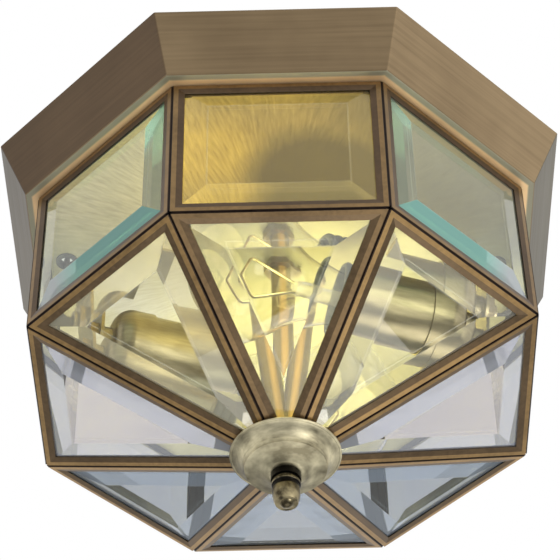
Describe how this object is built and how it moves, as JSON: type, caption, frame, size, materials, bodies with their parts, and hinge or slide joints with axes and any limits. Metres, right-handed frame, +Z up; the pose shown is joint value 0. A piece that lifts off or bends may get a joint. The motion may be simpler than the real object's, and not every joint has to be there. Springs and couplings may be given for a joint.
{
  "type": "flush mount ceiling light",
  "caption": "Octagonal flush mount ceiling light: tapered brass pan, bevelled glass lantern with a pyramid bottom, screw-in lamps inside and a turned finial that frees the lantern",
  "frame": {"origin": "centre of the ceiling plane, in the middle of the mounting strap's upper face", "axes": "+Z up into the ceiling, -Y towards the near side of the picture, +X to its right; the light hangs in -Z"},
  "size_m": [0.2588, 0.2588, 0.1763],
  "materials": {
    "antique_brass": "brushed antique brass, satin, with darker patches",
    "came_brass": "dark antique brass came, satin",
    "finial_brass": "turned antique brass, polished ridges",
    "holder_brass": "bright brass plate, satin",
    "rod_brass": "plain brass thread",
    "plated_steel": "zinc plated",
    "dark_solder": "blackened solder",
    "bevelled_glass": "clear polished, bevelled all round",
    "bulb_glass": "clear polished",
    "filament_glow": "lit filament on a clear glass stem",
    "lamp_cap_metal": "bright rolled thread",
    "lamp_base_insulator": "black glass insulator",
    "screw_shell_metal": "bright",
    "core_phenolic": "moulded phenolic",
    "lead_insulation": "smooth wire insulation",
    "bushing_plastic": "moulded",
    "block_plastic": "moulded"
  },
  "bodies": {
    "canopy": {"bracket_screws": "plated_steel", "ceiling_pan": "antique_brass", "lamp_brackets": "holder_brass", "lock_nuts": "rod_brass", "mounting_strap": "plated_steel", "screw_shells": "screw_shell_metal", "socket_cap_left": "holder_brass", "socket_cap_right": "holder_brass", "socket_cores": "core_phenolic", "socket_leads": "lead_insulation", "socket_shell_left": "holder_brass", "socket_shell_right": "holder_brass", "socket_skirts": "core_phenolic", "stem_rod": "rod_brass", "terminal_block": "block_plastic", "wire_bushings": "bushing_plastic"},
    "lantern": {"bottom_frame_1": "came_brass", "bottom_frame_2": "came_brass", "bottom_frame_3": "came_brass", "bottom_frame_4": "came_brass", "bottom_frame_5": "came_brass", "bottom_frame_6": "came_brass", "bottom_frame_7": "came_brass", "bottom_frame_8": "came_brass", "bottom_pane_1": "bevelled_glass", "bottom_pane_2": "bevelled_glass", "bottom_pane_3": "bevelled_glass", "bottom_pane_4": "bevelled_glass", "bottom_pane_5": "bevelled_glass", "bottom_pane_6": "bevelled_glass", "bottom_pane_7": "bevelled_glass", "bottom_pane_8": "bevelled_glass", "side_frame_1": "came_brass", "side_frame_2": "came_brass", "side_frame_3": "came_brass", "side_frame_4": "came_brass", "side_frame_5": "came_brass", "side_frame_6": "came_brass", "side_frame_7": "came_brass", "side_frame_8": "came_brass", "side_pane_1": "bevelled_glass", "side_pane_2": "bevelled_glass", "side_pane_3": "bevelled_glass", "side_pane_4": "bevelled_glass", "side_pane_5": "bevelled_glass", "side_pane_6": "bevelled_glass", "side_pane_7": "bevelled_glass", "side_pane_8": "bevelled_glass", "solder_seams": "dark_solder", "hub_plate": "holder_brass"},
    "finial_dish": {"finial_dish": "finial_brass"},
    "finial_knob": {"finial_knob": "finial_brass"},
    "lamp_left_base": {"bulb_contact_left": "lamp_base_insulator"},
    "lamp_left_bulb": {"bulb_cap_left": "lamp_cap_metal", "bulb_glass_left": "bulb_glass", "bulb_filament_left": "filament_glow"},
    "lamp_right_base": {"bulb_contact_right": "lamp_base_insulator"},
    "lamp_right_bulb": {"bulb_cap_right": "lamp_cap_metal", "bulb_glass_right": "bulb_glass", "bulb_filament_right": "filament_glow"}
  },
  "joints": [
    {"name": "lantern_drop", "type": "slide", "parent": "canopy", "child": "lantern", "axis": [0, 0, -1], "range_m": [0, 0.16]},
    {"name": "finial_lower", "type": "slide", "parent": "lantern", "child": "finial_dish", "axis": [0, 0, -1], "range_m": [0, 0.008]},
    {"name": "finial_turn", "type": "hinge", "parent": "finial_dish", "child": "finial_knob", "pos_m": [0, 0, -0.16], "axis": [0, 0, -1], "range_deg": [0, 3060]},
    {"name": "lamp_left_withdraw", "type": "slide", "parent": "canopy", "child": "lamp_left_base", "axis": [0.9397, 0.342, 0], "range_m": [0, 0.022]},
    {"name": "lamp_left_turn", "type": "hinge", "parent": "lamp_left_base", "child": "lamp_left_bulb", "pos_m": [-0.02793, 0.02176, -0.073], "axis": [0.9397, 0.342, 0], "range_deg": [0, 2182]},
    {"name": "lamp_right_withdraw", "type": "slide", "parent": "canopy", "child": "lamp_right_base", "axis": [-0.9397, -0.342, 0], "range_m": [0, 0.022]},
    {"name": "lamp_right_turn", "type": "hinge", "parent": "lamp_right_base", "child": "lamp_right_bulb", "pos_m": [0.02793, -0.02176, -0.073], "axis": [-0.9397, -0.342, 0], "range_deg": [0, 2182]}
  ],
  "couplings": [
    {"joint": "finial_turn", "follows": "finial_lower", "rad_per_m": 6679.3},
    {"joint": "lamp_left_turn", "follows": "lamp_left_withdraw", "rad_per_m": 1731.4},
    {"joint": "lamp_right_turn", "follows": "lamp_right_withdraw", "rad_per_m": 1731.4}
  ]
}
